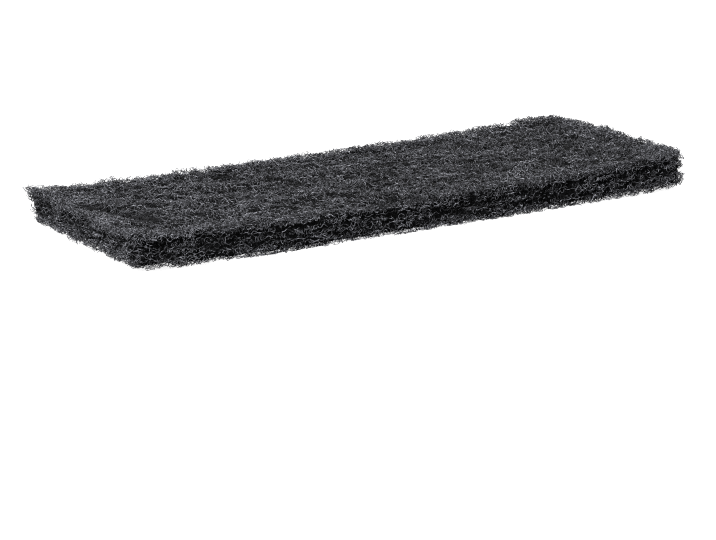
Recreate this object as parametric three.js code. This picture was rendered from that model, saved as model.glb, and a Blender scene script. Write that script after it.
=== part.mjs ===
// A non-woven cleaning pad of the long hand or holder size.
// The real pad is one piece: a lofty web of crimped black fibres, laid down in thin plies, bonded with
// resin and grit, and die cut to a rounded rectangle. It lies on its underside with +Z up, its length
// along X and its width along Y. The origin is on the resting plane, under the middle of the pad.
// Lengths are in millimetres.
import * as THREE from "three";
import { mergeVertices } from "three/addons/utils/BufferGeometryUtils.js";

const { degToRad, smoothstep, smootherstep } = THREE.MathUtils;

// The die's outline.
const padLength = 254;
const padWidth = 117.5;
const cornerRadius = 7;

// The section through the web.
const loft = 14;
const edgeRound = 2.4; // how far the cut edge rolls over, on top and below
const edgeWaist = 0.7; // how far the cut side is pulled in at mid height

// The curl that the web keeps from its roll.
const endLift = 2.4;
const flatRun = 90; // length that lies flat between the lifted ends

// The patch at the middle of the underside that the pad bears on, matted flat.
const bearingLength = 80;
const bearingWidth = 60;
const bearingStep = 0.4; // how far the web just past the patch stands off the table
const bearingFade = 12; // how far past the patch the web takes to reach its full relief
const underRelief = 0.35; // share of the top's relief that the underside has

// Matting of both faces: tufts drawn out along the web's machine direction.
const tuftLength = 13;
const tuftWidth = 8;
const tuftDepth = 1;

// Thin places in the web, which show as hollows in the top. Each has its middle, its size, its turn from
// the pad's length in degrees and its depth. The first is a crease that runs in from the left end, and the
// second a place where the front edge sags.
const hollows = [
  { x: 12 - padLength / 2, y: -8, length: 56, width: 13, turn: -76, depth: 3.6 },
  { x: -13, y: 2 - padWidth / 2, length: 50, width: 28, turn: 0, depth: 2.8 },
  { x: -103, y: 25, length: 17, width: 11, turn: -30, depth: 2 },
  { x: -60, y: 8, length: 24, width: 13, turn: -20, depth: 2 },
  { x: -3, y: -24, length: 27, width: 12, turn: -35, depth: 2 },
  { x: 24, y: 7, length: 21, width: 10, turn: -25, depth: 2 },
  { x: 70, y: 14, length: 26, width: 12, turn: 8, depth: 2 },
  { x: 66, y: -20, length: 31, width: 10, turn: 14, depth: 2 },
  { x: 98, y: -29, length: 24, width: 12, turn: 5, depth: 2 },
];

// Loose loops and cut ends, which make every side of the web craggy.
const cragPitch = 2.3;
const cragDepth = 1.6;

// The two left corners, whose tops the cutter drew out and fluffed up. Each has its sides, how far its top
// is drawn out and how far it is lifted.
const drawnReach = 16; // how far from a corner the web is drawn along with it
const drawnCorners = [
  { end: -1, side: 1, out: 6, up: 0.8 },
  { end: -1, side: -1, out: 5, up: 2 },
];

// Plies that show along the cut sides.
const plyCount = 4;
const plyFurrow = 0.9;
const plyWander = 16; // length over which a furrow fades in and out
const raggedPitch = 6;
const raggedDepth = 1; // how far the cut strays, out and in

// Fineness of the mesh.
const facePitch = 3.45;
const faceStray = 0.85; // how far a point of a face may lie off its even place
const underPitch = 9.5;
const roundSteps = 3;
const sideSteps = 7;

// A repeatable random value from 0 to 1 for a point of the integer lattice.
function latticeValue(i, j, k) {
  let hash = Math.imul(i, 374761393) ^ Math.imul(j, 668265263) ^ Math.imul(k, 1440662683);
  hash = Math.imul(hash ^ (hash >>> 13), 1274126177);
  return ((hash ^ (hash >>> 16)) >>> 0) / 4294967295;
}

// Smooth noise from 0 to 1, with one swell for each unit of x, y and z.
function noise(x, y, z) {
  const cell = [x, y, z].map(Math.floor);
  const share = [x, y, z].map((value, axis) => smootherstep(value - cell[axis], 0, 1));
  let sum = 0;
  for (let corner = 0; corner < 8; corner++) {
    const step = [corner & 1, (corner >> 1) & 1, corner >> 2];
    const weights = step.map((far, axis) => (far ? share[axis] : 1 - share[axis]));
    const value = latticeValue(cell[0] + step[0], cell[1] + step[1], cell[2] + step[2]);
    sum += value * weights[0] * weights[1] * weights[2];
  }
  return sum;
}

// The same noise drawn out to -1 to 1.
function swing(x, y, z) {
  return 2 * noise(x, y, z) - 1;
}

// How deep a matted face lies below its proudest tufts.
function tuftRelief(p) {
  return tuftDepth * noise(p.x / tuftLength, p.y / tuftWidth, p.z / loft);
}

// How deep the deepest hollow is at a point of the top.
function hollowRelief(p) {
  const depths = hollows.map((hollow) => {
    const away = new THREE.Vector2(p.x - hollow.x, p.y - hollow.y);
    away.rotateAround(new THREE.Vector2(), -degToRad(hollow.turn));
    const reach = Math.hypot(away.x / (hollow.length / 2), away.y / (hollow.width / 2));
    return hollow.depth * (1 - smoothstep(reach, 0, 1));
  });
  return Math.max(...depths);
}

// How deep a cut side lies inside the die's outline: furrows between plies, a straying cut, a waist.
function sideRelief(p) {
  const ply = (p.z / loft) * plyCount;
  const furrow = Math.pow(Math.abs(Math.cos(Math.PI * (ply - 0.5))), 6);
  const strength = noise((p.x + p.y) / plyWander, Math.round(ply) + 0.5, 5.5);
  const ragged = raggedDepth * swing(p.x / raggedPitch, p.y / raggedPitch, p.z / raggedPitch);
  const waist = edgeWaist * Math.sin((Math.PI * p.z) / loft);
  return plyFurrow * furrow * strength + ragged + waist;
}

// How far a point of the underside stands off the table, given its relief: not at all on the patch.
function standOff(p, relief) {
  const pastLength = Math.max(0, Math.abs(p.x) - bearingLength / 2);
  const pastWidth = Math.max(0, Math.abs(p.y) - bearingWidth / 2);
  const past = Math.hypot(pastLength, pastWidth);
  return past > 0 ? bearingStep + relief * smoothstep(past, 0, bearingFade) : 0;
}

// The roll's curl, as a height to add at x.
function curl(x) {
  const out = Math.max(0, Math.abs(x) - flatRun / 2) / (padLength / 2 - flatRun / 2);
  return endLift * out * out;
}

// How far the drawn corners move a point of the plain slab.
function cornerDraw(p) {
  const moved = new THREE.Vector3();
  for (const { end, side, out, up } of drawnCorners) {
    const corner = new THREE.Vector2((end * padLength) / 2, (side * padWidth) / 2);
    const share = (1 - smoothstep(corner.distanceTo(p), 0, drawnReach)) * (p.z / loft);
    const outward = new THREE.Vector2(end, side).setLength(out);
    moved.add(new THREE.Vector3(outward.x, outward.y, up).multiplyScalar(share));
  }
  return moved;
}

// Moves a point of the plain slab in along its normal by the web's relief, then by the drawn corners
// and the curl.
function webPoint(p, normal) {
  const up = Math.max(0, normal.z);
  const under = Math.max(0, -normal.z);
  const side = 1 - up - under;
  const crag = cragDepth * noise(p.x / cragPitch, p.y / cragPitch, p.z / cragPitch);
  const upper = crag + tuftRelief(p) + hollowRelief(p);
  const lower = standOff(p, underRelief * (crag + tuftRelief(p)));
  const depth = up * upper + under * lower + side * (crag + sideRelief(p));
  const moved = p.clone().addScaledVector(normal, -depth);
  moved.z += curl(moved.x);
  return moved.add(cornerDraw(p));
}

// How far a plan point lies in from the nearest side of the plain rectangle.
function insetOf(x, y) {
  return Math.min(padLength / 2 - Math.abs(x), padWidth / 2 - Math.abs(y));
}

// A plan point carried from the plain rectangle onto the die's rounded one, with its outward normal.
function onOutline(x, y) {
  const centreX = Math.sign(x) * (padLength / 2 - cornerRadius);
  const centreY = Math.sign(y) * (padWidth / 2 - cornerRadius);
  const pastX = Math.abs(x) - Math.abs(centreX);
  const pastY = Math.abs(y) - Math.abs(centreY);
  if (pastX > 0 && pastY > 0) {
    const normal = new THREE.Vector2(x - centreX, y - centreY).normalize();
    const corner = new THREE.Vector2(centreX, centreY);
    return { point: corner.addScaledVector(normal, Math.max(pastX, pastY)), normal };
  }
  const atEnd = padLength / 2 - Math.abs(x) < padWidth / 2 - Math.abs(y);
  const normal = atEnd ? new THREE.Vector2(Math.sign(x), 0) : new THREE.Vector2(0, Math.sign(y));
  return { point: new THREE.Vector2(x, y), normal };
}

// The quarter round of an edge in steps, as distances in from the outline and up from its start.
function roundStations() {
  return Array.from({ length: roundSteps + 1 }, (_, step) => {
    const turn = (Math.PI / 2) * (step / roundSteps);
    return { inset: edgeRound * (1 - Math.cos(turn)), rise: edgeRound * Math.sin(turn) };
  });
}

// Lines across one direction of the top: close together over the rounds, evenly spaced between.
function topLines(length) {
  const outer = roundStations().map(({ inset }) => inset - length / 2);
  const flat = length / 2 - edgeRound;
  const inner = evenLines(-flat, flat, facePitch).slice(1, -1);
  return [...outer, ...inner, ...outer.map((line) => -line).reverse()];
}

// Lines across one direction of the underside, with one at each edge of the bearing patch.
function underLines(length, patch) {
  const edge = length / 2 - edgeRound - underPitch / 2;
  const outer = evenLines(patch / 2, edge, underPitch).slice(1);
  const inner = evenLines(-patch / 2, patch / 2, underPitch);
  return [...outer.map((line) => -line).reverse(), ...inner, ...outer];
}

// Evenly spaced lines from one place to another, both included, about one pitch apart.
function evenLines(from, to, pitch) {
  const count = Math.max(1, Math.round((to - from) / pitch));
  return Array.from({ length: count + 1 }, (_, n) => from + ((to - from) * n) / count);
}

// A point of the top face or its rolled edge.
function topPoint(lineX, lineY) {
  const stray = faceStray * smoothstep(insetOf(lineX, lineY), edgeRound, 2 * edgeRound);
  const x = lineX + stray * swing(lineX, lineY, 31.5);
  const y = lineY + stray * swing(lineX, lineY, 47.5);
  const { point, normal } = onOutline(x, y);
  const lean = 1 - Math.min(1, insetOf(x, y) / edgeRound);
  const upright = Math.sqrt(1 - lean * lean);
  const tilt = new THREE.Vector3(normal.x * lean, normal.y * lean, upright);
  return webPoint(new THREE.Vector3(point.x, point.y, loft - edgeRound * (1 - upright)), tilt);
}

// The rows of the cut side, from below the top's rim down to the ring round the underside.
function sideRows() {
  const wall = loft - 2 * edgeRound;
  const straight = Array.from({ length: sideSteps }, (_, step) => {
    return { z: loft - edgeRound - (wall * (step + 1)) / sideSteps, inset: 0, lean: 0 };
  });
  const rolled = roundStations().slice(1).map(({ inset, rise }) => {
    return { z: edgeRound - rise, inset, lean: rise / edgeRound };
  });
  return [...straight, ...rolled];
}

function sidePoint(x, y, row) {
  const { point, normal } = onOutline(x, y);
  const level = Math.sqrt(1 - row.lean * row.lean);
  const place = point.clone().addScaledVector(normal, -row.inset);
  const tilt = new THREE.Vector3(normal.x * level, normal.y * level, -row.lean);
  return webPoint(new THREE.Vector3(place.x, place.y, row.z), tilt);
}

function underPoint(x, y) {
  return webPoint(new THREE.Vector3(x, y, 0), new THREE.Vector3(0, 0, -1));
}

// The outer points of a grid, anticlockwise seen from above, starting at its front left corner.
function rimOf(grid) {
  const lastX = grid.length - 1;
  const lastY = grid[0].length - 1;
  return [
    ...grid.slice(0, lastX).map((column) => column[0]),
    ...grid[lastX].slice(0, lastY),
    ...grid.slice(1).reverse().map((column) => column[lastY]),
    ...grid[0].slice(1).reverse(),
  ];
}

// Collects triangles that face out when their corners run anticlockwise.
class Skin {
  corners = [];

  triangle(a, b, c) {
    for (const p of [a, b, c]) this.corners.push(p.x, p.y, p.z);
  }

  quad(a, b, c, d) {
    this.triangle(a, b, c);
    this.triangle(a, c, d);
  }

  // A grid that faces up, or down, with its diagonals turned about from one square to the next.
  sheet(grid, facesUp) {
    for (let i = 1; i < grid.length; i++) {
      for (let j = 1; j < grid[0].length; j++) {
        const square = [grid[i - 1][j - 1], grid[i][j - 1], grid[i][j], grid[i - 1][j]];
        if (!facesUp) square.reverse();
        if ((i + j) % 2) square.push(square.shift());
        this.quad(...square);
      }
    }
  }

  // The band between two closed rings of as many points, the second one below the first.
  band(above, below) {
    above.forEach((_, n) => {
      const next = (n + 1) % above.length;
      this.quad(above[n], below[n], below[next], above[next]);
    });
  }

  // The band between two rings with unlike counts, which start at the same corner. Each step goes on
  // along the ring that gives the shorter joining edge.
  bridge(outer, inner) {
    let o = 0;
    let i = 0;
    while (o < outer.length || i < inner.length) {
      const fromOuter = outer[o % outer.length];
      const fromInner = inner[i % inner.length];
      const toOuter = outer[(o + 1) % outer.length];
      const toInner = inner[(i + 1) % inner.length];
      const outerIsNearer = toOuter.distanceTo(fromInner) <= toInner.distanceTo(fromOuter);
      if (i === inner.length || (o < outer.length && outerIsNearer)) {
        this.triangle(fromOuter, fromInner, toOuter);
        o++;
      } else {
        this.triangle(fromOuter, fromInner, toInner);
        i++;
      }
    }
  }

  geometry() {
    const made = new THREE.BufferGeometry();
    made.setAttribute("position", new THREE.Float32BufferAttribute(this.corners, 3));
    return mergeVertices(made, 1e-4);
  }
}

function padGeometry() {
  const skin = new Skin();
  const xs = topLines(padLength);
  const ys = topLines(padWidth);
  const top = xs.map((x) => ys.map((y) => topPoint(x, y)));
  skin.sheet(top, true);

  const planRim = rimOf(xs.map((x) => ys.map((y) => ({ x, y }))));
  let ring = rimOf(top);
  for (const row of sideRows()) {
    const lower = planRim.map(({ x, y }) => sidePoint(x, y, row));
    skin.band(ring, lower);
    ring = lower;
  }

  const underXs = underLines(padLength, bearingLength);
  const underYs = underLines(padWidth, bearingWidth);
  const under = underXs.map((x) => underYs.map((y) => underPoint(x, y)));
  skin.bridge(ring, rimOf(under));
  skin.sheet(under, false);

  const geometry = skin.geometry();
  geometry.computeBoundingBox();
  const { min, max } = geometry.boundingBox;
  geometry.translate(-(min.x + max.x) / 2, -(min.y + max.y) / 2, -min.z);
  geometry.computeVertexNormals();
  return geometry;
}

const blackWeb = new THREE.MeshStandardMaterial({
  name: "black_resin_bonded_nylon_web",
  color: 0x26272a,
  roughness: 0.85,
  metalness: 0,
});

const pad = new THREE.Mesh(padGeometry(), blackWeb);
pad.name = "pad";

const cleaningPad = new THREE.Group();
cleaningPad.name = "cleaning_pad";
cleaningPad.add(pad);

export default cleaningPad;
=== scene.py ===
import math

import bpy
import numpy as np
from bpy.props import FloatProperty, FloatVectorProperty, IntProperty, PointerProperty
from mathutils import Matrix, Vector
from mathutils.bvhtree import BVHTree


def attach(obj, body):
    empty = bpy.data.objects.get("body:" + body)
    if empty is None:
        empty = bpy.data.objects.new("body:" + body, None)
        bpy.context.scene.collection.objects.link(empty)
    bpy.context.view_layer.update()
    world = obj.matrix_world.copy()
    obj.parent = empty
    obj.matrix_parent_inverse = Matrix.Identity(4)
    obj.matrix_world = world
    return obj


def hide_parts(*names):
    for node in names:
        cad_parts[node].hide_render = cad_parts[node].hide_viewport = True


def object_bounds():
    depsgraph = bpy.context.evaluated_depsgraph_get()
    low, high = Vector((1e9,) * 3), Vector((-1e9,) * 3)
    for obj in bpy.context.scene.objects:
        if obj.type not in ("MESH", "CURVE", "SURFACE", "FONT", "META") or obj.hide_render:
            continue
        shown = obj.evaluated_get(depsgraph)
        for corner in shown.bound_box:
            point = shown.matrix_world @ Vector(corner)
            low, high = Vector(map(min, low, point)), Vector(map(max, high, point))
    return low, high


bl_info = {
    "name": "Non-woven Cleaning Pad",
    "version": (1, 0, 0),
    "blender": (4, 5, 0),
    "location": "View3D > Sidebar > Cleaning Pad",
    "description": "Dresses a non-woven cleaning pad in its web of crimped fibres and sets it in soft light",
    "category": "Add Mesh",
}

# Lengths are in metres, so a size in millimetres is written as a number of MM.
MM = 0.001

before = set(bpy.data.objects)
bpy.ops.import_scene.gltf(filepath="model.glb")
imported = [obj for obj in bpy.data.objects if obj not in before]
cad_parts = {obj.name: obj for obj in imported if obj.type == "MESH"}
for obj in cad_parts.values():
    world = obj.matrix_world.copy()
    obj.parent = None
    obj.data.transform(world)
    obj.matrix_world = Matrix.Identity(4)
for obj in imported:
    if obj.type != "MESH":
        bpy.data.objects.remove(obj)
CAD_LOW, CAD_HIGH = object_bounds()

# The plain slab that the fibres are laid in before they are carried onto the pad's own surface. Its middle
# lies off the pad's origin, because two corners are drawn out and the origin is under the whole's middle.
SLAB_MIDDLE = np.array([0.545, -0.169, 0]) * MM
SLAB_LENGTH = 254 * MM
SLAB_WIDTH = 117.5 * MM
SLAB_LOFT = 14 * MM
CORNER_RADIUS = 7 * MM
EDGE_ROUND = 2.4 * MM

# The height over the floor of the point that the camera's settings are measured from.
MIDDLE_HEIGHT = 8.9 * MM

# The two ends of the crease in the top, near the pad's left end, along which the fibres are darkened nearly
# to black as a painted shadow, and how far to either side of it the painted shadow reaches.
CREASE = np.array([(-121.5, 12), (-108, -34)]) * MM
CREASE_REACH = 3.2 * MM

# The curl of the two ends, and the two corners whose tops are drawn out: each with its end, its side, how
# far its top is drawn out and how far it is lifted.
END_LIFT = 2.4 * MM
FLAT_RUN = 90 * MM
DRAWN_REACH = 16 * MM
DRAWN_CORNERS = [(-1, 1, 6 * MM, 0.8 * MM), (-1, -1, 5 * MM, 2 * MM)]

BODY = "root"


def linear(hex_colour):
    """The linear RGBA of an sRGB hex colour such as "#26272a"."""
    channels = [int(hex_colour[n : n + 2], 16) / 255 for n in (1, 3, 5)]
    return (*(c / 12.92 if c <= 0.04045 else ((c + 0.055) / 1.055) ** 2.4 for c in channels), 1.0)


class WebSettings(bpy.types.PropertyGroup):
    """The fibres of the web and how they are laid."""

    fibre_width: FloatProperty(
        name="Fibre width",
        description="Diameter of a fibre with its coat of resin and grit",
        default=0.26 * MM,
        unit="LENGTH",
    )
    fibre_step: FloatProperty(
        name="Fibre step",
        description="Length of one straight step of a crimped fibre",
        default=0.85 * MM,
        unit="LENGTH",
    )
    fibre_length: FloatProperty(
        name="Staple length",
        description="Length that the fibres were chopped to before they were laid",
        default=30 * MM,
        unit="LENGTH",
    )
    crimp_length: FloatProperty(
        name="Crimp length",
        description="Length of one wave of a fibre's crimp",
        default=7 * MM,
        unit="LENGTH",
    )
    crimp_swing: FloatProperty(
        name="Crimp swing",
        description="How far a fibre's heading swings to either side over a wave",
        default=math.radians(68),
        subtype="ANGLE",
    )
    climb_swing: FloatProperty(
        name="Climb swing",
        description="How steeply a fibre climbs and falls over its shorter waves",
        default=math.radians(72),
        subtype="ANGLE",
    )
    gap_depth: FloatProperty(
        name="Gap depth",
        description="How deep the open gaps between the fibres reach",
        default=1.9 * MM,
        unit="LENGTH",
    )
    mat_depth: FloatProperty(
        name="Mat depth",
        description="How deep under the surface single fibres are laid",
        default=2.6 * MM,
        unit="LENGTH",
    )
    loop_height: FloatProperty(
        name="Loop height",
        description="How far loose loops and cut ends stand off the surface",
        default=1.3 * MM,
        unit="LENGTH",
    )
    tuft_height: FloatProperty(
        name="Tuft height",
        description="How far small tufts rise and sink",
        default=0.4 * MM,
        unit="LENGTH",
    )
    tuft_rise: FloatProperty(
        name="Tuft rise",
        description="How far the mat of fibres stands over the craggy solid, on the average",
        default=1.7 * MM,
        unit="LENGTH",
    )
    heart_inset: FloatProperty(
        name="Heart inset",
        description="How far the web's solid heart lies under the surface",
        default=0.1 * MM,
        unit="LENGTH",
    )
    # Painted shade: the fibres darken with the depth of the relief's hollows under them, more slowly the
    # larger this is.
    hollow_shade_reach: FloatProperty(
        name="Coat reach",
        description="How deep into the web's relief the sprayed coat of resin and grit reaches",
        default=5 * MM,
        unit="LENGTH",
    )
    seed: IntProperty(name="Seed", description="Start of the random draws", default=11)
    # The fibres run from the dark colour to the light one by their own tone and, as painted shade, by how
    # deep they lie in the mat, over hollows and along the crease.
    fibre_dark: FloatVectorProperty(
        name="Fibre, dark",
        description="Colour of the most heavily coated fibres",
        default=linear("#08080a"),
        subtype="COLOR",
        size=4,
    )
    fibre_light: FloatVectorProperty(
        name="Fibre, light",
        description="Colour of the most lightly coated fibres",
        default=linear("#73747a"),
        subtype="COLOR",
        size=4,
    )
    # Partly the grit's own pale colour and partly painted highlight: specks of it stand for the glints of
    # the grit.
    grit: FloatVectorProperty(
        name="Grit",
        description="Colour of the grit that shows in the resin",
        default=linear("#a8a9ae"),
        subtype="COLOR",
        size=4,
    )
    # Painted shade: a near-black, darker than any fibre, that stands for the shade between the fibres deep
    # in the web.
    heart_shade: FloatVectorProperty(
        name="Heart",
        description="Colour of the gaps between fibres deep in the web",
        default=linear("#020202"),
        subtype="COLOR",
        size=4,
    )


class StageSettings(bpy.types.PropertyGroup):
    """The camera, the lights and the floor."""

    azimuth: FloatProperty(
        name="Azimuth",
        description="Where the camera stands round the pad, from straight in front",
        default=math.radians(-25.3),
        subtype="ANGLE",
    )
    elevation: FloatProperty(
        name="Elevation",
        description="How far the camera looks down",
        default=math.radians(13.26),
        subtype="ANGLE",
    )
    roll: FloatProperty(
        name="Roll",
        description="How far the camera is turned about its own axis",
        default=math.radians(-3.1),
        subtype="ANGLE",
    )
    distance: FloatProperty(
        name="Distance",
        description="From the camera to the plane through the pad's middle",
        default=1.376,
        unit="LENGTH",
    )
    aim_left: FloatProperty(
        name="Aim left",
        description="How far left of the pad's middle the camera aims, in its own view",
        default=0.67 * MM,
        unit="LENGTH",
    )
    aim_drop: FloatProperty(
        name="Aim drop",
        description="How far below the pad's middle the camera aims, in its own view",
        default=35.6 * MM,
        unit="LENGTH",
    )
    lens: FloatProperty(
        name="Lens",
        description="Focal length of the lens on a 36 mm sensor, in millimetres",
        default=162.1,
    )
    floor_white: FloatVectorProperty(
        name="Floor",
        description="Colour of the floor",
        default=linear("#707070"),
        subtype="COLOR",
        size=4,
    )
    floor_glow: FloatProperty(
        name="Floor glow",
        description="Radiance of the light that comes up through the floor",
        default=0.88,
    )
    sky: FloatProperty(
        name="Surround",
        description="Strength of the even light from all round",
        default=0.1,
    )
    front: FloatProperty(
        name="Front softbox",
        description="Power of the softbox low in front of the pad, in watts",
        default=11.0,
    )
    left: FloatProperty(
        name="Left softbox",
        description="Power of the softbox low behind the pad's left end, in watts",
        default=5.0,
    )
    key: FloatProperty(
        name="Key softbox",
        description="Power of the softbox above the pad's front left corner, in watts",
        default=64.0,
    )
    back: FloatProperty(
        name="Back softbox",
        description="Power of the softbox behind the pad's far right corner, in watts",
        default=13.0,
    )


def add_node(tree, kind, inputs=None, **settings):
    """Adds a node with its settings. Each input is given a value, or a socket to be linked to."""
    node = tree.nodes.new(kind)
    for name, value in settings.items():
        setattr(node, name, value)
    for name, value in (inputs or {}).items():
        if isinstance(value, bpy.types.NodeSocket):
            tree.links.new(value, node.inputs[name])
        else:
            node.inputs[name].default_value = value
    return node


def new_material(name):
    """An empty node material."""
    material = bpy.data.materials.new(name)
    material.use_nodes = True
    material.node_tree.nodes.clear()
    return material


def black_coated_nylon_fibre(web):
    """Crimped nylon staple, dyed black, sprayed with resin and fine grit and oven cured."""
    # The eye gets a near-black thread, a little blue, with a dull satin gloss along it. Pale specks of grit
    # colour in it are painted highlights that stand for the grit's glints. Some fibres took more coat than
    # others, so they differ in colour and gloss, and the shade attribute adds painted shade deep in the mat,
    # over hollows and along the crease.
    material = new_material("black_coated_nylon_fibre")
    tree = material.node_tree
    shade = add_node(tree, "ShaderNodeAttribute", attribute_name="shade").outputs["Fac"]
    place = add_node(tree, "ShaderNodeTexCoord").outputs["Object"]
    # Resin and grit gather in beads along a fibre. They are drawn coarser than they are, so that they show.
    bead_pitch = 0.9 * MM
    beads = add_node(
        tree,
        "ShaderNodeTexNoise",
        {"Vector": place, "Scale": 1 / bead_pitch, "Detail": 2.0, "Roughness": 0.6},
    )
    coat = add_node(
        tree,
        "ShaderNodeMapRange",
        {"Value": beads.outputs["Fac"], "From Min": 0.38, "From Max": 0.6},
    )
    lit = add_node(
        tree,
        "ShaderNodeMath",
        {0: coat.outputs["Result"], 1: shade},
        operation="MULTIPLY",
    )
    fibre = add_node(
        tree,
        "ShaderNodeMix",
        {"Factor": lit.outputs["Value"], "A": web.fibre_dark, "B": web.fibre_light},
        data_type="RGBA",
    )
    # Painted highlights: where the beads swell most, the colour goes to the grit's pale colour as glints,
    # fading with the painted shade.
    specks = add_node(
        tree,
        "ShaderNodeMapRange",
        {"Value": beads.outputs["Fac"], "From Min": 0.6, "From Max": 0.75},
    )
    glints = add_node(
        tree,
        "ShaderNodeMath",
        {0: specks.outputs["Result"], 1: shade},
        operation="MULTIPLY",
    )
    colour = add_node(
        tree,
        "ShaderNodeMix",
        {"Factor": glints.outputs["Value"], "A": fibre.outputs["Result"], "B": web.grit},
        data_type="RGBA",
    )
    roughness = add_node(
        tree,
        "ShaderNodeMapRange",
        {"Value": lit.outputs["Value"], "To Min": 0.9, "To Max": 0.4},
    )
    shader = add_node(
        tree,
        "ShaderNodeBsdfPrincipled",
        {
            "Base Color": colour.outputs["Result"],
            "Roughness": roughness.outputs["Result"],
            "IOR": 1.53,
            "Specular IOR Level": 0.2,
        },
    )
    add_node(tree, "ShaderNodeOutputMaterial", {"Surface": shader.outputs["BSDF"]})
    return material


def fibre_lines(tree, place, pitch, width, turn):
    """Curling lines like matted fibres: bright where a smooth noise passes through its middle value."""
    moved = add_node(
        tree,
        "ShaderNodeMapping",
        {"Vector": place, "Location": (turn, 2 * turn, -turn), "Rotation": (turn, 2 * turn, 3 * turn)},
    )
    swells = add_node(
        tree,
        "ShaderNodeTexNoise",
        {"Vector": moved.outputs["Vector"], "Scale": 1 / pitch, "Detail": 1.0, "Roughness": 0.35},
    )
    middle = add_node(
        tree,
        "ShaderNodeMath",
        {0: swells.outputs["Fac"], 1: 0.5},
        operation="SUBTRACT",
    )
    away = add_node(tree, "ShaderNodeMath", {0: middle.outputs["Value"]}, operation="ABSOLUTE")
    line = add_node(
        tree,
        "ShaderNodeMapRange",
        {"Value": away.outputs["Value"], "From Max": 0.5 * width / pitch, "To Min": 1.0, "To Max": 0.0},
        interpolation_type="SMOOTHSTEP",
    )
    return line.outputs["Result"]


def matted_nylon_web(web):
    """The same nylon web where it is too deep and too tangled to make out single fibres."""
    # The eye gets black depth crossed by dim curling lines, the upper ones clearer than the lower. The black
    # and the dimming of the deeper lines are painted shade of the web's depth.
    material = new_material("matted_nylon_web")
    tree = material.node_tree
    place = add_node(tree, "ShaderNodeTexCoord").outputs["Object"]
    upper = fibre_lines(tree, place, 1.7 * MM, 0.7 * web.fibre_width, 0.3)
    middle = fibre_lines(tree, place, 1.4 * MM, 0.7 * web.fibre_width, 1.1)
    lower = fibre_lines(tree, place, 1.2 * MM, 0.7 * web.fibre_width, 2.3)
    dim_middle = add_node(tree, "ShaderNodeMath", {0: middle, 1: 0.7}, operation="MULTIPLY")
    dim_lower = add_node(tree, "ShaderNodeMath", {0: lower, 1: 0.4}, operation="MULTIPLY")
    nearer = add_node(
        tree,
        "ShaderNodeMath",
        {0: upper, 1: dim_middle.outputs["Value"]},
        operation="MAXIMUM",
    )
    lines = add_node(
        tree,
        "ShaderNodeMath",
        {0: nearer.outputs["Value"], 1: dim_lower.outputs["Value"]},
        operation="MAXIMUM",
    )
    # The lines are dimmed to a few hundredths, as painted shade of the web's depth, and are brighter where
    # the heart faces up or down than on its cut sides.
    facing = add_node(
        tree,
        "ShaderNodeSeparateXYZ",
        {"Vector": add_node(tree, "ShaderNodeNewGeometry").outputs["Normal"]},
    )
    level = add_node(tree, "ShaderNodeMath", {0: facing.outputs["Z"]}, operation="ABSOLUTE")
    sprayed = add_node(
        tree,
        "ShaderNodeMapRange",
        {"Value": level.outputs["Value"], "To Min": 0.02, "To Max": 0.05},
    )
    dim_lines = add_node(
        tree,
        "ShaderNodeMath",
        {0: lines.outputs["Value"], 1: sprayed.outputs["Result"]},
        operation="MULTIPLY",
    )
    colour = add_node(
        tree,
        "ShaderNodeMix",
        {"Factor": dim_lines.outputs["Value"], "A": web.heart_shade, "B": web.fibre_light},
        data_type="RGBA",
    )
    gloss = add_node(
        tree,
        "ShaderNodeMapRange",
        {"Value": lines.outputs["Value"], "To Min": 0.95, "To Max": 0.5},
    )
    relief = add_node(
        tree,
        "ShaderNodeBump",
        {"Height": lines.outputs["Value"], "Distance": web.fibre_width},
    )
    shader = add_node(
        tree,
        "ShaderNodeBsdfPrincipled",
        {
            "Base Color": colour.outputs["Result"],
            "Roughness": gloss.outputs["Result"],
            "Normal": relief.outputs["Normal"],
            "Specular IOR Level": 0.02,
        },
    )
    add_node(tree, "ShaderNodeOutputMaterial", {"Surface": shader.outputs["BSDF"]})
    return material


def backlit_white_acrylic(stage):
    """The matt white acrylic sheet of a light table, lit from below as well as from above."""
    # The eye gets an even white with no gloss, in which shadows are faint.
    material = new_material("backlit_white_acrylic")
    tree = material.node_tree
    place = add_node(tree, "ShaderNodeTexCoord").outputs["Object"]
    grain = add_node(tree, "ShaderNodeTexNoise", {"Vector": place, "Scale": 1 / (2 * MM)})
    relief = add_node(
        tree,
        "ShaderNodeBump",
        {"Height": grain.outputs["Fac"], "Strength": 0.1, "Distance": 0.05 * MM},
    )
    shader = add_node(
        tree,
        "ShaderNodeBsdfPrincipled",
        {
            "Base Color": stage.floor_white,
            "Roughness": 0.9,
            "Normal": relief.outputs["Normal"],
            "Emission Color": (1, 1, 1, 1),
            "Emission Strength": stage.floor_glow,
        },
    )
    add_node(tree, "ShaderNodeOutputMaterial", {"Surface": shader.outputs["BSDF"]})
    return material


def smooth_noise(points, pitch, seed):
    """Smooth random values from -1 to 1 at the points, with one swell for each pitch along each axis."""
    scaled = points / pitch + 1000.0
    cell = np.floor(scaled).astype(np.int64)
    share = scaled - cell
    share = share * share * (3 - 2 * share)
    total = np.zeros(len(points))
    for corner in np.ndindex(2, 2, 2):
        i, j, k = (cell + corner).T
        mixed = (i * 73856093) ^ (j * 19349663) ^ (k * 83492791) ^ (seed * 2654435761)
        mixed = (mixed ^ (mixed >> 13)) * 1274126177
        value = ((mixed ^ (mixed >> 16)) & 0xFFFF) / 0xFFFF
        weight = np.prod(np.where(corner, share, 1 - share), axis=1)
        total += weight * value
    return 2 * total - 1


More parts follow.
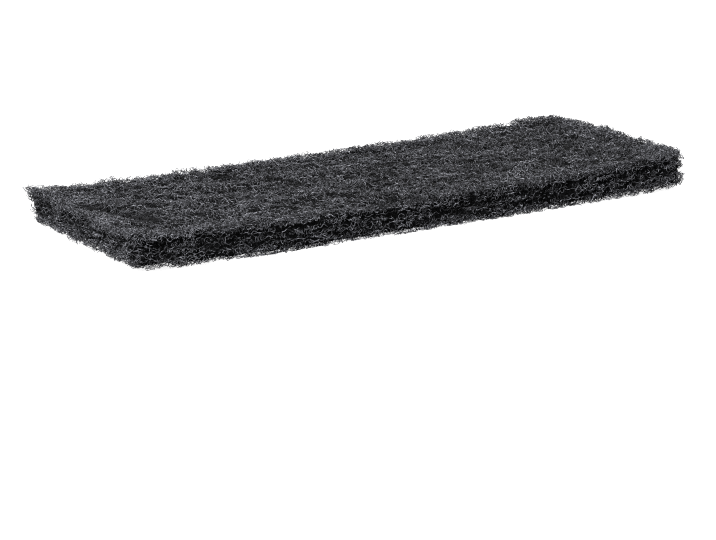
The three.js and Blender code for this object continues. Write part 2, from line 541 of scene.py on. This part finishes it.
def slab_distance(points):
    """How far points lie outside the plain slab: a rounded rectangle with rounded edges."""
    reach = np.abs(points[:, :2]) - (SLAB_LENGTH / 2 - CORNER_RADIUS, SLAB_WIDTH / 2 - CORNER_RADIUS)
    plan = np.linalg.norm(np.maximum(reach, 0), axis=1) + np.minimum(reach.max(1), 0) - CORNER_RADIUS
    height = np.abs(points[:, 2] - SLAB_LOFT / 2) - SLAB_LOFT / 2
    edge = np.stack([plan, height], 1) + EDGE_ROUND
    return np.linalg.norm(np.maximum(edge, 0), axis=1) + np.minimum(edge.max(1), 0) - EDGE_ROUND


def slab_outward(points):
    """The direction straight out of the slab at each point."""
    small = 0.01 * MM
    steps = small * np.eye(3)
    slope = np.stack([slab_distance(points + step) - slab_distance(points - step) for step in steps], 1)
    return slope / np.maximum(np.linalg.norm(slope, axis=1, keepdims=True), 1e-12)


def shaped(points):
    """Moves points of the plain slab by the curl of its ends and by its drawn-out corners."""
    past = np.maximum(0, np.abs(points[:, 0]) - FLAT_RUN / 2) / (SLAB_LENGTH / 2 - FLAT_RUN / 2)
    moved = points + SLAB_MIDDLE
    moved[:, 2] += END_LIFT * past**2
    for end, side, out, up in DRAWN_CORNERS:
        away = np.hypot(points[:, 0] - end * SLAB_LENGTH / 2, points[:, 1] - side * SLAB_WIDTH / 2)
        near = np.clip(1 - away / DRAWN_REACH, 0, 1)
        near = near * near * (3 - 2 * near) * points[:, 2] / SLAB_LOFT
        moved += near[:, None] * (end * out / math.sqrt(2), side * out / math.sqrt(2), up)
    return moved


def crease_shadow_share(points):
    """How deep the painted shadow of the crease is at the points, from 0 to 1."""
    start, end = CREASE
    run = end - start
    along = np.clip((points[:, :2] - start) @ run / (run @ run), 0, 1)
    away = np.linalg.norm(points[:, :2] - start - along[:, None] * run, axis=1)
    return np.exp(-((away / CREASE_REACH) ** 4)) * (points[:, 2] > SLAB_LOFT / 2)


def straight_in(surface, place, outward):
    """The point of the pad's surface that lies straight in from a place on the slab, or else the nearest."""
    stand_off = 2 * MM
    reach = 8 * MM
    hit = surface.ray_cast(place + stand_off * outward, -outward, reach)[0]
    return hit or surface.find_nearest(place)[0]


def onto_pad(points, surface, web):
    """Carries points of the plain slab onto the pad, and tells how deep its relief is under each."""
    distance = slab_distance(points)
    outward = slab_outward(points)
    on_slab = shaped(points - outward * distance[:, None])
    on_pad = np.array([straight_in(surface, place, way) for place, way in zip(on_slab, outward)])
    tufts = web.tuft_rise + web.tuft_height * smooth_noise(points, 5 * MM, web.seed)
    carried = shaped(points) + (on_pad - on_slab) + outward * tufts[:, None]
    carried[:, 2] = np.maximum(carried[:, 2], web.fibre_width / 2)
    return carried, np.sum((on_slab - on_pad) * outward, axis=1)


def crimped_lines(draw, starts, coat, web):
    """Crimped centre lines through the starts, as fibres by points by axes. The coated ones lie flatter."""
    count = len(starts)
    steps = int(web.fibre_length / web.fibre_step)
    along = (np.arange(steps) - steps / 2) * web.fibre_step

    def wave(length, swing):
        """A wave along each fibre, with its own length, swing and phase."""
        lengths = length * draw.uniform(0.75, 1.4, (count, 1))
        swings = swing * draw.uniform(0.5, 1.25, (count, 1))
        phases = draw.uniform(0, 2 * math.pi, (count, 1))
        return swings * np.sin(2 * math.pi * along / lengths + phases)

    crimped = draw.uniform(0.4, 1.2, (count, 1))
    heading = draw.uniform(0, 2 * math.pi, (count, 1)) + crimped * wave(web.crimp_length, web.crimp_swing)
    heading = heading + along * draw.normal(0, 0.1 / MM, (count, 1))
    climb = crimped * (1.3 - 0.7 * coat[:, None]) * wave(0.6 * web.crimp_length, web.climb_swing)
    ahead = [np.cos(heading) * np.cos(climb), np.sin(heading) * np.cos(climb), np.sin(climb)]
    line = np.cumsum(np.stack(ahead, 2) * web.fibre_step, axis=1)
    return line - line[:, steps // 2 : steps // 2 + 1] + starts[:, None]


def openness(points, is_cut, seed):
    """How open the web is, from 0 to 1: small gaps, and on a cut side flat ones between its plies."""
    small = smooth_noise(points, (2.4 * MM, 2.4 * MM, 2.4 * MM), seed + 20)
    flat = smooth_noise(points, (13 * MM, 13 * MM, 2.0 * MM), seed + 21)
    return np.clip(0.75 * small + 0.75 * is_cut * flat, 0, 1)


def laid_fibres(draw, starts, is_cut, surface, web, most_steps):
    """The stretches of fibres that lie in the mat: their points, their strand numbers and their shades."""
    coat = draw.beta(2.2, 2.7, len(starts))
    lines = crimped_lines(draw, starts, coat, web)
    count, steps, _ = lines.shape
    distance = slab_distance(lines.reshape(-1, 3)).reshape(count, steps)
    loop_height = web.loop_height * draw.uniform(0.1, 1, (count, 1)) ** 2
    gaps = web.gap_depth * openness(lines.reshape(-1, 3), is_cut, web.seed).reshape(count, steps)
    kept = (distance > -web.mat_depth) & (distance < loop_height - gaps)
    begins = kept & ~np.pad(kept, ((0, 0), (1, 0)))[:, :-1]
    strand = np.cumsum(begins.ravel()) - 1
    # Each fibre keeps its own random tone, times a painted shade that darkens it the deeper it lies in the
    # mat, down to near black.
    shade = (coat[:, None] * np.clip(1.15 + 1.4 * distance / web.mat_depth, 0.02, 1.2))[kept]
    points = lines.reshape(-1, 3)[kept.ravel()]
    strand = strand[kept.ravel()]
    # Stretches of one or two points are too short to show.
    long_enough = np.bincount(strand)[strand] >= 3
    points = points[long_enough]
    strand = strand[long_enough]
    shade = shade[long_enough]
    steps_so_far = np.cumsum(np.append(False, strand[1:] == strand[:-1]))
    last = strand[min(np.searchsorted(steps_so_far, most_steps), len(strand) - 1)]
    whole = strand < last
    carried, depth = onto_pad(points[whole], surface, web)
    # Painted shade darkens the fibres over the relief's hollows more than over the tufts, and a painted
    # shadow makes them nearly black along the crease.
    coated = np.clip(1.25 - depth / web.hollow_shade_reach, 0.2, 1.25) * (1 - 0.98 * crease_shadow_share(points[whole]))
    return carried, strand[whole], np.clip(shade[whole] * coated, 0, 1)


def tube_mesh(name, points, strand, shade, width):
    """Three-sided tubes along the strands, closed at both ends, with a map for baking."""
    joined = strand[1:] == strand[:-1]
    before = np.where(np.append(False, joined), np.arange(len(points)) - 1, np.arange(len(points)))
    after = np.where(np.append(joined, False), np.arange(len(points)) + 1, np.arange(len(points)))
    tangent = points[after] - points[before]
    tangent /= np.maximum(np.linalg.norm(tangent, axis=1, keepdims=True), 1e-12)
    side = np.cross(tangent, (0.0, 0.0, 1.0))
    side /= np.maximum(np.linalg.norm(side, axis=1, keepdims=True), 1e-12)
    over = np.cross(side, tangent)
    turns = [math.radians(90 + 120 * corner) for corner in range(3)]
    rings = [points + width / 2 * (math.cos(turn) * side + math.sin(turn) * over) for turn in turns]
    vertices = np.stack(rings, 1).reshape(-1, 3)

    here = 3 * np.flatnonzero(joined)
    quads = []
    for corner in range(3):
        following = (corner + 1) % 3
        quads.append(np.stack([here + corner, here + 3 + corner, here + 3 + following, here + following], 1))
    quads = np.stack(quads, 1).reshape(-1, 4)
    starts = 3 * np.flatnonzero(~np.append(False, joined))
    ends = 3 * np.flatnonzero(~np.append(joined, False))
    caps = np.concatenate([starts[:, None] + (0, 1, 2), ends[:, None] + (2, 1, 0)])

    mesh = bpy.data.meshes.new(name)
    mesh.vertices.add(len(vertices))
    mesh.vertices.foreach_set("co", vertices.ravel())
    corners = np.concatenate([quads.ravel(), caps.ravel()])
    mesh.loops.add(len(corners))
    mesh.loops.foreach_set("vertex_index", corners.astype(np.int32))
    loop_starts = np.concatenate([np.arange(len(quads)) * 4, 4 * len(quads) + np.arange(len(caps)) * 3])
    mesh.polygons.add(len(loop_starts))
    mesh.polygons.foreach_set("loop_start", loop_starts.astype(np.int32))
    mesh.update(calc_edges=True)
    mesh.shade_smooth()
    values = mesh.attributes.new("shade", "FLOAT", "POINT")
    values.data.foreach_set("value", np.repeat(shade, 3).astype(np.float32))
    mesh.uv_layers.new(name="OFBake").uv.foreach_set("vector", spread_map(len(quads), len(caps)).ravel())
    return mesh


def spread_map(quad_count, cap_count):
    """UV corners that give every four-sided face, then every cap, a cell of its own in a square grid."""
    cells = quad_count + cap_count
    across = math.ceil(math.sqrt(cells))
    number = np.arange(cells)
    low = np.stack([number % across, number // across], 1)
    square = np.array([(0.1, 0.1), (0.9, 0.1), (0.9, 0.9), (0.1, 0.9)])
    quads = low[:quad_count, None] + square
    caps = low[quad_count:, None] + square[:3]
    return (np.concatenate([quads.reshape(-1, 2), caps.reshape(-1, 2)]) / across).astype(np.float32)


def add_piece(name, mesh, material):
    """A piece of the pad, which rides with it and takes the web's finish."""
    piece = bpy.data.objects.new(name, mesh)
    bpy.context.scene.collection.objects.link(piece)
    mesh.materials.clear()
    mesh.materials.append(material)
    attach(piece, BODY)
    return piece


def pad_surface():
    """The pad's own surface, to be searched for its nearest point."""
    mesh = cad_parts["pad"].data
    return BVHTree.FromPolygons([v.co for v in mesh.vertices], [p.vertices for p in mesh.polygons])


def face_starts(draw, face, count, web):
    """Random places for fibres to pass through, in the mat under one of the slab's faces."""
    across = draw.uniform(-0.5, 0.5, (count, 3)) * (SLAB_LENGTH, SLAB_WIDTH, SLAB_LOFT)
    across[:, 2] += SLAB_LOFT / 2
    depth = web.mat_depth * draw.uniform(0, 1, count) ** 1.6
    which = draw.choice((-1, 1), count)
    if face == "top":
        across[:, 2] = SLAB_LOFT - depth
    elif face == "underside":
        across[:, 2] = depth
    elif face == "long sides":
        across[:, 1] = which * (SLAB_WIDTH / 2 - depth)
    elif face == "ends":
        across[:, 0] = which * (SLAB_LENGTH / 2 - depth)
    else:
        at_long_side = draw.uniform(size=count) < SLAB_LENGTH / (SLAB_LENGTH + SLAB_WIDTH)
        across[:, 0] = np.where(at_long_side, across[:, 0], which * (SLAB_LENGTH / 2 - depth))
        across[:, 1] = np.where(at_long_side, which * (SLAB_WIDTH / 2 - depth), across[:, 1])
        at_top = draw.uniform(size=count) < 0.6
        sunk = web.mat_depth * draw.uniform(0, 1, count)
        across[:, 2] = np.where(at_top, SLAB_LOFT - sunk, sunk)
    return across


# The pieces that the fibres are made in: the face, the places tried and the most steps kept. The top has
# most because it is the largest face in sight, and the sides are densest because they are seen square on.
FIBRE_PIECES = {
    "top_fibres_1": ("top", 2600, 30000),
    "top_fibres_2": ("top", 2600, 30000),
    "side_fibres": ("long sides", 6000, 31000),
    "end_fibres": ("ends", 3200, 17000),
    "under_fibres": ("underside", 1400, 12000),
    "rim_fibres": ("rims", 4000, 26000),
}


class CLEANINGPAD_OT_add_heart(bpy.types.Operator):
    """Add the web's solid heart, which the single fibres lie over, in place of the plain pad"""

    bl_idname = "cleaningpad.add_heart"
    bl_label = "Add Web Heart"

    def execute(self, context):
        web = context.scene.cleaning_pad_web
        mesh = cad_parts["pad"].data.copy()
        mesh.name = "web_heart"
        mesh.materials.clear()
        heart = add_piece("web_heart", mesh, matted_nylon_web(web))
        # The crags below need small, even faces to move.
        remesh = heart.modifiers.new("Even faces", "REMESH")
        remesh.mode = "VOXEL"
        remesh.voxel_size = 1.5 * MM
        remesh.use_smooth_shade = True
        made = bpy.data.meshes.new_from_object(heart.evaluated_get(context.evaluated_depsgraph_get()))
        heart.modifiers.clear()
        heart.data = made
        count = len(made.vertices)
        places = np.zeros(count * 3)
        made.vertices.foreach_get("co", places)
        places = places.reshape(-1, 3)
        normals = np.zeros(count * 3)
        made.vertex_normals.foreach_get("vector", normals)
        normals = normals.reshape(-1, 3)
        crags = 0.45 * MM * smooth_noise(places, 3.2 * MM, web.seed + 1)
        crags += 0.35 * MM * smooth_noise(places, 1.6 * MM, web.seed + 2)
        places += normals * (crags - web.heart_inset)[:, None]
        places[:, 2] = np.maximum(places[:, 2], 0)
        made.vertices.foreach_set("co", places.ravel())
        made.update()
        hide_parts("pad")
        return {"FINISHED"}


class CLEANINGPAD_OT_add_fibres(bpy.types.Operator):
    """Add the crimped fibres that are matted over every face of the pad"""

    bl_idname = "cleaningpad.add_fibres"
    bl_label = "Add Fibres"

    def execute(self, context):
        web = context.scene.cleaning_pad_web
        surface = pad_surface()
        material = black_coated_nylon_fibre(web)
        for number, (name, (face, tries, most_steps)) in enumerate(FIBRE_PIECES.items()):
            draw = np.random.default_rng(web.seed + number)
            starts = face_starts(draw, face, tries, web)
            is_cut = face in ("long sides", "ends")
            points, strand, shade = laid_fibres(draw, starts, is_cut, surface, web, most_steps)
            add_piece(name, tube_mesh(name, points, strand, shade, web.fibre_width), material)
        return {"FINISHED"}


class CLEANINGPAD_OT_add_stage(bpy.types.Operator):
    """Add the floor, the soft lights, the even surround and the camera"""

    bl_idname = "cleaningpad.add_stage"
    bl_label = "Add Stage"

    def execute(self, context):
        stage = context.scene.cleaning_pad_stage
        self.add_floor(context, stage)
        self.add_lights(context, stage)
        self.add_camera(context, stage)
        context.scene.view_settings.view_transform = "Standard"
        # The denoiser takes single fibres for noise and smears them, and the usual wide pixel blurs them.
        context.scene.cycles.use_denoising = False
        context.scene.cycles.filter_width = 1.15
        return {"FINISHED"}

    def add_floor(self, context, stage):
        """A wide floor that the pad lies on."""
        reach = 6.0
        corners = [(-reach, -reach, 0), (reach, -reach, 0), (reach, reach, 0), (-reach, reach, 0)]
        mesh = bpy.data.meshes.new("floor")
        mesh.from_pydata(corners, [], [(0, 1, 2, 3)])
        mesh.materials.append(backlit_white_acrylic(stage))
        floor = bpy.data.objects.new("floor", mesh)
        context.scene.collection.objects.link(floor)
        # The glow is for the camera alone. On the pad it would fill the gaps between the fibres.
        floor.visible_diffuse = False
        floor.visible_glossy = False

    def add_lights(self, context, stage):
        """The softboxes and the even surround."""
        middle = (CAD_LOW + CAD_HIGH) / 2
        softboxes = {
            "key_softbox": (Vector((-1.02, -0.8, 0.76)), 0.45, stage.key),
            "front_softbox": (Vector((-0.2, -1.2, 0.25)), 0.5, stage.front),
            "left_softbox": (Vector((-0.85, 0.9, 0.3)), 0.5, stage.left),
            "back_softbox": (Vector((0.9, 0.9, 0.6)), 0.5, stage.back),
        }
        for name, (place, size, power) in softboxes.items():
            data = bpy.data.lights.new(name, "AREA")
            data.size = size
            data.energy = power
            light = bpy.data.objects.new(name, data)
            light.location = middle + place
            light.rotation_euler = place.to_track_quat("Z", "Y").to_euler()
            context.scene.collection.objects.link(light)
        world = bpy.data.worlds.new("surround")
        world.use_nodes = True
        tree = world.node_tree
        background = tree.nodes["Background"]
        background.inputs["Color"].default_value = (1, 1, 1, 1)
        # Past the floor's far edge the camera sees the floor's white go on, but the pad is lit by far less.
        is_seen = add_node(tree, "ShaderNodeLightPath").outputs["Is Camera Ray"]
        strength = add_node(
            tree,
            "ShaderNodeMapRange",
            {"Value": is_seen, "To Min": stage.sky, "To Max": stage.floor_glow},
        )
        tree.links.new(strength.outputs["Result"], background.inputs["Strength"])
        context.scene.world = world

    def add_camera(self, context, stage):
        """The camera at the photograph's angle."""
        around = stage.azimuth
        up = stage.elevation
        back = Vector((math.sin(around) * math.cos(up), -math.cos(around) * math.cos(up), math.sin(up)))
        right = Vector((math.cos(around), math.sin(around), 0))
        over = back.cross(right)
        turned_right = math.cos(stage.roll) * right + math.sin(stage.roll) * over
        turned_over = math.cos(stage.roll) * over - math.sin(stage.roll) * right
        middle = Vector(SLAB_MIDDLE) + Vector((0, 0, MIDDLE_HEIGHT))
        place = middle + stage.distance * back - stage.aim_left * turned_right - stage.aim_drop * turned_over
        data = bpy.data.cameras.new("camera")
        data.lens = stage.lens
        data.sensor_width = 36
        data.clip_end = 50
        camera = bpy.data.objects.new("camera", data)
        camera.matrix_world = Matrix.Translation(place) @ Matrix(
            (turned_right, turned_over, back)
        ).transposed().to_4x4()
        context.scene.collection.objects.link(camera)
        context.scene.camera = camera


class CLEANINGPAD_PT_panel(bpy.types.Panel):
    """The pad's settings and steps"""

    bl_idname = "CLEANINGPAD_PT_panel"
    bl_label = "Cleaning Pad"
    bl_space_type = "VIEW_3D"
    bl_region_type = "UI"
    bl_category = "Cleaning Pad"

    def draw(self, context):
        for settings in (context.scene.cleaning_pad_web, context.scene.cleaning_pad_stage):
            box = self.layout.box()
            for name in settings.__annotations__:
                box.prop(settings, name)
        for operator in OPERATORS:
            self.layout.operator(operator.bl_idname)


OPERATORS = (CLEANINGPAD_OT_add_heart, CLEANINGPAD_OT_add_fibres, CLEANINGPAD_OT_add_stage)
CLASSES = (WebSettings, StageSettings, *OPERATORS, CLEANINGPAD_PT_panel)


def register():
    for item in CLASSES:
        bpy.utils.register_class(item)
    bpy.types.Scene.cleaning_pad_web = PointerProperty(type=WebSettings)
    bpy.types.Scene.cleaning_pad_stage = PointerProperty(type=StageSettings)


def unregister():
    del bpy.types.Scene.cleaning_pad_stage
    del bpy.types.Scene.cleaning_pad_web
    for item in reversed(CLASSES):
        bpy.utils.unregister_class(item)


def main():
    register()
    bpy.ops.cleaningpad.add_heart()
    bpy.ops.cleaningpad.add_fibres()
    bpy.ops.cleaningpad.add_stage()


if __name__ == "__main__":
    main()
